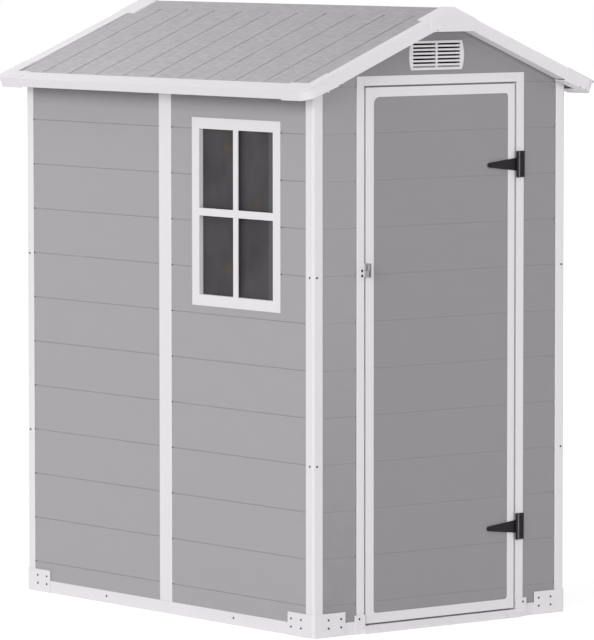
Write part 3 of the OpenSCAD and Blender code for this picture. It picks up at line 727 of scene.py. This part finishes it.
# ---------------------------------------------------------------- white posts, frames and trims
SOFT_EDGED = (                  # edge radius in millimetres, and the nodes that get it
    (1.5, ("corner_post_front_left", "corner_post_front_right", "corner_post_rear_left",
           "corner_post_rear_right", "mid_post_left", "mid_post_right", "mid_post_rear")),
    (1.0, ("door_sill", "door_jamb_left", "door_jamb_right", "door_head", "door_stile_left",
           "door_stile_right", "door_rail_top", "door_rail_bottom")),
    (0.8, ("base_brackets", "jamb_feet", "eave_trims")),
    (1.0, ("window_frame",)))
for radius, nodes in SOFT_EDGED:
    for node in nodes:
        trim_from(node, radius)
low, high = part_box("base_rails")
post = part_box("corner_post_rear_right")[0]
jamb_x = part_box("door_jamb_right")[1].x
rails = solid("base_rail_set", [
    block((low.x, -post.y, 0), (-post.x, post.y, high.z)),
    block((post.x, -post.y, 0), (high.x, post.y, high.z)),
    block((-post.x, post.y, 0), (post.x, high.y, high.z)),
    block((-post.x, low.y, 0), (-jamb_x, -post.y, high.z)),
    block((jamb_x, low.y, 0), (post.x, -post.y, high.z))])
hand_over(soften(rails, 1.2), "shed", WHITE, ["base_rails"])

# ---------------------------------------------------------------- roof edging
FASCIA_V, RAKE_V, CAD_CAP_T = -30.4 * MM, -38.3 * MM, 2.5 * MM
FACE_T, PLATE_T = 1.2 * MM, 2.2 * MM        # how far the caps stand off the trims, in front and on top
CAP_RUN_U, CAP_RUN_Y = 130 * MM, 128 * MM   # length of a corner cap along the rake and along the eave
WALL_R, PLATE_R = 40 * MM, 30 * MM          # outer corner of its wall and of its top plate
CAP_WALL = 2.8 * MM
APEX_RUN = 100 * MM
APEX_PLATE = {-1: 757 * MM, 1: 728 * MM}    # inner edge of the apex caps' top plates
APEX_FLAT_Z = 1878.5 * MM
CAP_TAPER = 140 * MM        # over this run the caps' lower edge goes from the rake's depth to the fascia's
RIGHT_DROP = 3.5 * MM       # the right-hand caps hang this much lower
CAP_INNER_U, CAP_LAP = 55 * MM, 2 * MM      # inner edges of the caps' top plates
LIP_U, LIP_Y = 40 * MM, 47 * MM             # and of their lower lips
WIDE_U0, WIDE_U1 = 5 * MM, EAVE_U - 100 * MM        # run of the wider flange on the rear rakes
HIDDEN_U, HIDDEN_Y, HIDDEN_V = 60 * MM, 70 * MM, 60 * MM    # rake ends taken off inside the corner caps
COVER_SINK = 0.1 * MM       # the apex top plates reach this far into the rakes
CAP_EDGE, RAKE_EDGE = 0.5, 0.8              # softened edges, in millimetres


def cap_path(u1, y1, radius, inset=0.0, steps=10):
    """Outline of a corner cap in (u, y), from its rake end round the corner to its eave end."""
    turn_r = radius - inset
    arc = [(u1 - radius + turn_r * math.sin(a), y1 - radius + turn_r * math.cos(a))
           for a in (math.radians(90) * k / steps for k in range(steps + 1))]
    return [(EAVE_U - CAP_RUN_U, y1 - inset)] + arc + [(u1 - inset, ROOF_END - CAP_RUN_Y)]


def cap_under(u, lift=0.0):
    """Lower edge of the corner caps: from the rake board's depth to the fascia's."""
    share = 1 - (EAVE_U - u) / CAP_TAPER
    return RAKE_V + (FASCIA_V - RAKE_V) * share - CAD_CAP_T + lift


def corner_cap_parts():
    """Shells of the four corner caps: top plates, outer walls and lower lips."""
    def low_edge(side, lift=0.0):
        return lambda u: cap_under(u, lift) - (RIGHT_DROP if side > 0 else 0)

    wall_u, wall_y = EAVE_U + PLATE_T, ROOF_END + FACE_T
    outside = cap_path(wall_u, wall_y, WALL_R)
    ring = outside + cap_path(wall_u, wall_y, WALL_R, CAP_WALL)[::-1]
    lip = outside + [(EAVE_U - LIP_U, ROOF_END - CAP_RUN_Y), (EAVE_U - LIP_U, ROOF_END - LIP_Y),
                     (EAVE_U - CAP_RUN_U, ROOF_END - LIP_Y)]
    plates, walls, unders = [], [], []
    for side in SIDES:
        for end in ENDS:
            flange = FLANGE_FRONT if end < 0 else FLANGE_REAR
            inner_u, inner_y = EAVE_U - CAP_INNER_U, ROOF_END - flange - CAP_LAP
            inner = [(inner_u, ROOF_END - CAP_RUN_Y), (inner_u, inner_y), (EAVE_U - CAP_RUN_U, inner_y)]
            plate = cap_path(wall_u, wall_y + FACE_T, PLATE_R) + inner
            plates.append(slope_shell(side, end, plate, PLATE_T, -TRIM_T / 2))
            walls.append(slope_shell(side, end, ring, PLATE_T / 2, low_edge(side)))
            points = [slope_point(side, u, end * y, low_edge(side, lift)(u))
                      for lift in (CAP_WALL, 0) for u, y in lip]
            unders.append((points, slope_shell(side, end, lip, 0, 0)[1]))
    return plates, walls, unders


plates, walls, unders = corner_cap_parts()
caps = fuse(solid("corner_cap_set", plates), [solid("cap_walls", walls), solid("cap_unders", unders)])
hand_over(soften(caps, CAP_EDGE), "shed", WHITE, ["eave_corner_caps"])

for end, node in ((-1, "rake_trims_front"), (1, "rake_trims_rear")):
    rake = merged_copy(node, "made_" + node)
    if end > 0:
        wide = [slope_block(side, end, WIDE_U0, WIDE_U1, ROOF_END - FLANGE_REAR,
                            ROOF_END - FLANGE_FRONT + MM, -TRIM_T, 0) for side in SIDES]
        fuse(rake, [solid("wide_flange", wide)])
    hidden = [slope_block(side, end, EAVE_U - HIDDEN_U, EAVE_U + CLEAR, ROOF_END - HIDDEN_Y,
                          ROOF_END + CLEAR, -HIDDEN_V, CLEAR) for side in SIDES]
    fuse(rake, [solid("hidden_ends", hidden)], "DIFFERENCE")
    hand_over(soften(rake, RAKE_EDGE), "shed", WHITE, [node])


def chevron(run, top, under):
    """Gable-shaped outline in (x, z) between two heights over the roof line."""
    x, drop = run * math.cos(SLOPE), run * math.sin(SLOPE)
    high, low = RIDGE_Z + top / math.cos(SLOPE), RIDGE_Z + under / math.cos(SLOPE)
    return [(0, high), (x, high - drop), (x, low - drop), (0, low), (-x, low - drop), (-x, high - drop)]


def apex_face():
    """Front outline of an apex cap, with the flat filled corner under the apex."""
    outline = chevron(APEX_RUN, CAD_CAP_T, RAKE_V)
    flat_x = (RIDGE_Z + RAKE_V / math.cos(SLOPE) - APEX_FLAT_Z) / math.tan(SLOPE)
    return outline[:3] + [(flat_x, APEX_FLAT_Z), (-flat_x, APEX_FLAT_Z)] + outline[4:]


def cap_prisms(outline, inner):
    """The outline drawn out at both ends of the roof, from an inner edge to the caps' faces."""
    return [prism(outline, *sorted((end * inner[end], end * (ROOF_END + FACE_T)))) for end in ENDS]


apex = solid("apex_cap_set", cap_prisms(apex_face(), {end: ROOF_END - MM for end in ENDS}))
cover_outline = chevron(APEX_RUN, CAD_CAP_T, -TRIM_T + COVER_SINK)
covers = solid("apex_covers", cap_prisms(cover_outline, APEX_PLATE))
hand_over(soften(fuse(apex, [covers]), CAP_EDGE), "shed", WHITE, ["apex_caps"])

# ---------------------------------------------------------------- vent
VENT_BOW, VENT_LIFT = 8.5 * MM, 1.3 * MM
SLOT_SIZE, SLOT_ROWS = (92.5 * MM, 5.6 * MM, 40 * MM), 7
SLOT_PITCH, SLOT_COLUMN_STEP = 11.75 * MM, 99.5 * MM
low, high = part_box("gable_vent")
vent = grow(new_object("vent_plate"), VENT,
            Size=(high.x - low.x - 2 * VENT_BOW, high.y - low.y, high.z - low.z), Bow=VENT_BOW,
            Slot_Size=SLOT_SIZE, Pitch=SLOT_PITCH, Rows=SLOT_ROWS, Column_Step=SLOT_COLUMN_STEP,
            Centre=((low.x + high.x) / 2, high.y, (low.z + high.z) / 2 + VENT_LIFT), Material=WHITE_PAINTED_LIGHT)
soften(vent, 0.5, 1)
hand_over(vent, "shed", WHITE, ["gable_vent"])

# ---------------------------------------------------------------- window pane and bars
PANE_SHIFT = 2.3 * MM
BAR_DEPTH, BAR_END = 4 * MM, 1.5 * MM
BAR_WIDTH = 24.5 * MM
LEVEL_BAR_Z, UPRIGHT_BAR_Y = 1304 * MM, -370.6 * MM
low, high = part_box("window_glass")
pane = merged_copy("window_glass", "window_sheet")
pane.data.transform(Matrix.Translation((-PANE_SHIFT, 0, 0)))
hand_over(pane, "shed", PANE, ["window_glass"], smooth=0)
bar_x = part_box("window_frame")[0].x - 1 * MM + BAR_DEPTH / 2
bars = grow(new_object("window_bars"), GLAZING_BARS,
            Level_Centre=(bar_x, (low.y + high.y) / 2, LEVEL_BAR_Z),
            Level_Size=(BAR_DEPTH, high.y - low.y + 2 * BAR_END, BAR_WIDTH),
            Upright_Centre=(bar_x, UPRIGHT_BAR_Y, (low.z + high.z) / 2),
            Upright_Size=(BAR_DEPTH, BAR_WIDTH, high.z - low.z + 2 * BAR_END), Material=WHITE)
hand_over(soften(bars, 0.8), "shed", WHITE)

# ---------------------------------------------------------------- hinges and padlock plates
HIGHLIGHT_DEPTH = 0.5 * MM     # how deep the painted highlight reaches on the barrels
LUG_DEPTH = 2.6 * MM        # the padlock lugs stand in front of this depth of their plates
METAL_EDGE = 0.5            # millimetres
BARREL_BLACK_PAINTED_HIGHLIGHT = barrel_painted_highlight(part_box("hinge_plates")[0].y + HIGHLIGHT_DEPTH)
for node in ("hinge_straps", "hinge_plates"):
    trim_from(node, METAL_EDGE, material=BARREL_BLACK_PAINTED_HIGHLIGHT)
EYE_METAL = lock_finish(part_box("lock_eye_jamb")[1].y - LUG_DEPTH)
for node in ("lock_eye_jamb", "lock_eye_door"):
    trim_from(node, METAL_EDGE, material=EYE_METAL)


# ---------------------------------------------------------------- screws
def screws(name, body, material, rows, radius=3.6, height=1.6, sides=16):
    """Screw heads at (place, facing) pairs, in millimetres."""
    mesh = bpy.data.meshes.new(name)
    mesh.from_pydata([Vector(place) * MM for place, _ in rows], [], [])
    facing = mesh.attributes.new("facing", "FLOAT_VECTOR", "POINT")
    facing.data.foreach_set("vector", [c for _, way in rows for c in way])
    piece = grow(new_object(name, mesh), SCREWS, Head_Radius=radius * MM, Head_Height=height * MM,
                 Sides=sides, Material=material)
    return hand_over(piece, body, None, smooth=30)


LEFT, RIGHT, FRONT, REAR = (-1, 0, 0), (1, 0, 0), (0, -1, 0), (0, 1, 0)
# places of the screws, in millimetres
CORNER_X, CORNER_Y = 515, 763               # outer corner of the posts
BRACKET_STAND_OFF, POST_STAND_OFF = 3.6, 0.6
BRACKET_REACHES, BRACKET_HEIGHTS = (58, 108), (28, 54)
POST_HEIGHTS, POST_INSET_X, POST_INSET_Y = (537, 1124), 14.5, 17
RAIL_PLACES, RAIL_HEIGHT = (-357, 323), 23
FOOT_SCREW = (337, -770.6, 48)
# painted shade dots at the groove ends: their x, their y places, and their gap beside the window
SHADE_DOT_X, SHADE_DOT_PLACES, WINDOW_SHADE_DOT_GAP = 513.4, (-35.3, 722.2), 2.8
HINGE_HEIGHTS, HINGE_SCREW_STEP = (291.5, 1451), 28
STRAP_SCREW_X, PLATE_SCREW_X = 204, 331
LOCK_HEIGHTS, JAMB_LOCK_X, DOOR_LOCK_X = (1138.5, 1122.5), -322.5, -289
WHITE_CAP_SCREWS = (-53.7, 1887.5), (-31.7, 1887.5), (-40, 1898), (504, 1700.5)       # x, z
WHITE_RAKE_SCREWS = (-503, 1702.5), (-444, 1729)
ZINC_CAP_SCREWS = (-66, 1882.5), (474, 1703), (526.3, 1693.5), (548, 1684.5)

wall_screws = []
for side, way in ((-1, LEFT), (1, RIGHT)):
    for end, end_way in ((-1, FRONT), (1, REAR)):
        plate_x, plate_y = side * (CORNER_X + BRACKET_STAND_OFF), end * (CORNER_Y + BRACKET_STAND_OFF)
        for reach in BRACKET_REACHES:
            for z in BRACKET_HEIGHTS:
                wall_screws.append(((plate_x, end * (CORNER_Y - reach), z), way))
                wall_screws.append(((side * (CORNER_X - reach), plate_y, z), end_way))
        post_x, post_y = side * (CORNER_X + POST_STAND_OFF), end * (CORNER_Y + POST_STAND_OFF)
        for z in POST_HEIGHTS:
            wall_screws.append(((post_x, end * (CORNER_Y - POST_INSET_Y), z), way))
            wall_screws.append(((side * (CORNER_X - POST_INSET_X), post_y, z), end_way))
    for y in RAIL_PLACES:
        wall_screws.append(((side * (CORNER_X + POST_STAND_OFF), y, RAIL_HEIGHT), way))
    wall_screws.append(((side * FOOT_SCREW[0], *FOOT_SCREW[1:]), FRONT))
screws("wall_screws", "shed", SCREW_GREY, wall_screws)

shade_dots = []                                  # painted shade: black dots where the grooves meet the posts and the window, for the shade in the groove ends
wall_low, wall_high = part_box("wall_left_front")
window_low, window_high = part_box("window_frame")
first, count = board_rows(wall_low.z, wall_high.z)
for side, way in ((-1, LEFT), (1, RIGHT)):
    for z in (first + k * BOARD_PITCH for k in range(count)):
        shade_dots += [((side * SHADE_DOT_X, y, z / MM), way) for y in SHADE_DOT_PLACES]
        if side < 0 and window_low.z < z < window_high.z:
            shade_dots.append(((side * SHADE_DOT_X, window_low.y / MM - WINDOW_SHADE_DOT_GAP, z / MM), way))
screws("groove_end_shade_dots", "shed", SCREW_BLACK, shade_dots, 2.8, 0.5, 8)


def front_rows(y, places):
    """Rows of forward-facing screws at one depth, from their (x, z) places."""
    return [((x, y, z), FRONT) for x, z in places]


screws("hinge_screws_door", "door", BLACK,
       front_rows(-766.1, [(STRAP_SCREW_X, z) for z in HINGE_HEIGHTS]))
screws("hinge_screws_jamb", "shed", BLACK,
       front_rows(-767.1, [(PLATE_SCREW_X, z + dz) for z in HINGE_HEIGHTS
                           for dz in (-HINGE_SCREW_STEP, HINGE_SCREW_STEP)]))
screws("lock_screws_jamb", "shed", SCREW_BLACK,
       front_rows(-765.6, [(JAMB_LOCK_X, z) for z in LOCK_HEIGHTS]), 4.2, 1.2)
screws("lock_screws_door", "door", SCREW_BLACK,
       front_rows(-764.6, [(DOOR_LOCK_X, z) for z in LOCK_HEIGHTS]), 3.4, 1.2)
cap_y = -(ROOF_END + FACE_T) / MM
rake_y = cap_y + 1
screws("edging_screws", "shed", WHITE,
       front_rows(cap_y, WHITE_CAP_SCREWS) + front_rows(rake_y, WHITE_RAKE_SCREWS), 4, 1.2)
screws("cap_screws", "shed", ZINC, front_rows(cap_y, ZINC_CAP_SCREWS), 3, 1.2)

# ---------------------------------------------------------------- CAD solids that stay as they are
for name in sorted(NODES):
    kept = NODES[name]
    if not kept.hide_render:
        kept.data.materials.clear()
        kept.data.materials.append(FINISH[SLOT_OF[name]])


# ---------------------------------------------------------------- camera, floor and light
EYE = Vector((-10.643, -13.521, 2.292))
YAW, PITCH, ROLL = 38.268, 4.5535, -0.035           # degrees, the yaw to the right of +Y
camera_data = bpy.data.cameras.new("camera")
camera = bpy.data.objects.new("camera", camera_data)
scene.collection.objects.link(camera)
camera_data.lens = 297.28
camera_data.sensor_width = 36
camera_data.clip_end = 100
turn = (Matrix.Rotation(math.radians(-YAW), 4, "Z") @ Matrix.Rotation(math.radians(90 - PITCH), 4, "X")
        @ Matrix.Rotation(math.radians(ROLL), 4, "Z"))
camera.matrix_world = Matrix.Translation(EYE) @ turn
scene.camera = camera

scene.view_settings.view_transform = "Standard"
WORLD_LIGHT = 0.575
FLOOR_GLOW, FLOOR_SEEN, FLOOR_GIVEN = 0.72, (0.5, 0.5, 0.5, 1), (0.97, 0.97, 0.97, 1)
FLOOR_HALF = 40
world = bpy.data.worlds.new("studio")
scene.world = world
world.use_nodes = True
tree = world.node_tree
seen = put(tree, "ShaderNodeBackground", {"Color": (1, 1, 1, 1), "Strength": 1.0})
lit = put(tree, "ShaderNodeBackground", {"Color": (1, 1, 1, 1), "Strength": WORLD_LIGHT})
mix = put(tree, "ShaderNodeMixShader", {0: seen_directly(tree), 1: lit.outputs[0], 2: seen.outputs[0]})
tree.links.new(mix.outputs[0], tree.nodes["World Output"].inputs["Surface"])

floor = new_object("floor")
bm = bmesh.new()
bmesh.ops.create_grid(bm, x_segments=1, y_segments=1, size=FLOOR_HALF)
bm.to_mesh(floor.data)
bm.free()
paper = bpy.data.materials.new("floor_paper")
paper.use_nodes = True
tree = paper.node_tree
shader = tree.nodes["Principled BSDF"]
shader.inputs["Roughness"].default_value = 0.9
shader.inputs["Specular IOR Level"].default_value = 0.0
shader.inputs["Emission Color"].default_value = (1, 1, 1, 1)
direct = seen_directly(tree)
tree.links.new(blend(tree, direct, FLOOR_GIVEN, FLOOR_SEEN), shader.inputs["Base Color"])
tree.links.new(maths(tree, "MULTIPLY", direct, FLOOR_GLOW), shader.inputs["Emission Strength"])
floor.data.materials.append(paper)


def add_lamp(data, source, place=(0, 0, 0)):
    """Puts a lamp at a place, shining away from its source direction."""
    lamp = bpy.data.objects.new(data.name, data)
    scene.collection.objects.link(lamp)
    lamp.location = place
    lamp.rotation_mode = "QUATERNION"
    lamp.rotation_quaternion = source.to_track_quat("Z", "Y")


def sun(name, strength, towards_deg, height_deg, spread_deg):
    """A distant soft lamp: bearing from the front (negative to the left) and height above the floor."""
    data = bpy.data.lights.new(name, "SUN")
    data.energy = strength
    data.angle = math.radians(spread_deg)
    a, e = math.radians(towards_deg), math.radians(height_deg)
    add_lamp(data, Vector((math.sin(a) * math.cos(e), -math.cos(a) * math.cos(e), math.sin(e))))


def softbox(name, place, aim, side, watts):
    """A square soft lamp at a place, turned towards a point."""
    data = bpy.data.lights.new(name, "AREA")
    data.size = side
    data.energy = watts
    add_lamp(data, Vector(place) - Vector(aim), place)


sun("key_lamp", 1.04, -68, 15, 28)
sun("front_lamp", 0.64, -10, 2, 30)
sun("top_lamp", 0.23, -50, 80, 30)
softbox("back_lamp", (-1.3, 1.5, 3.2), (-0.4, 0.5, 1.8), 1.0, 5)
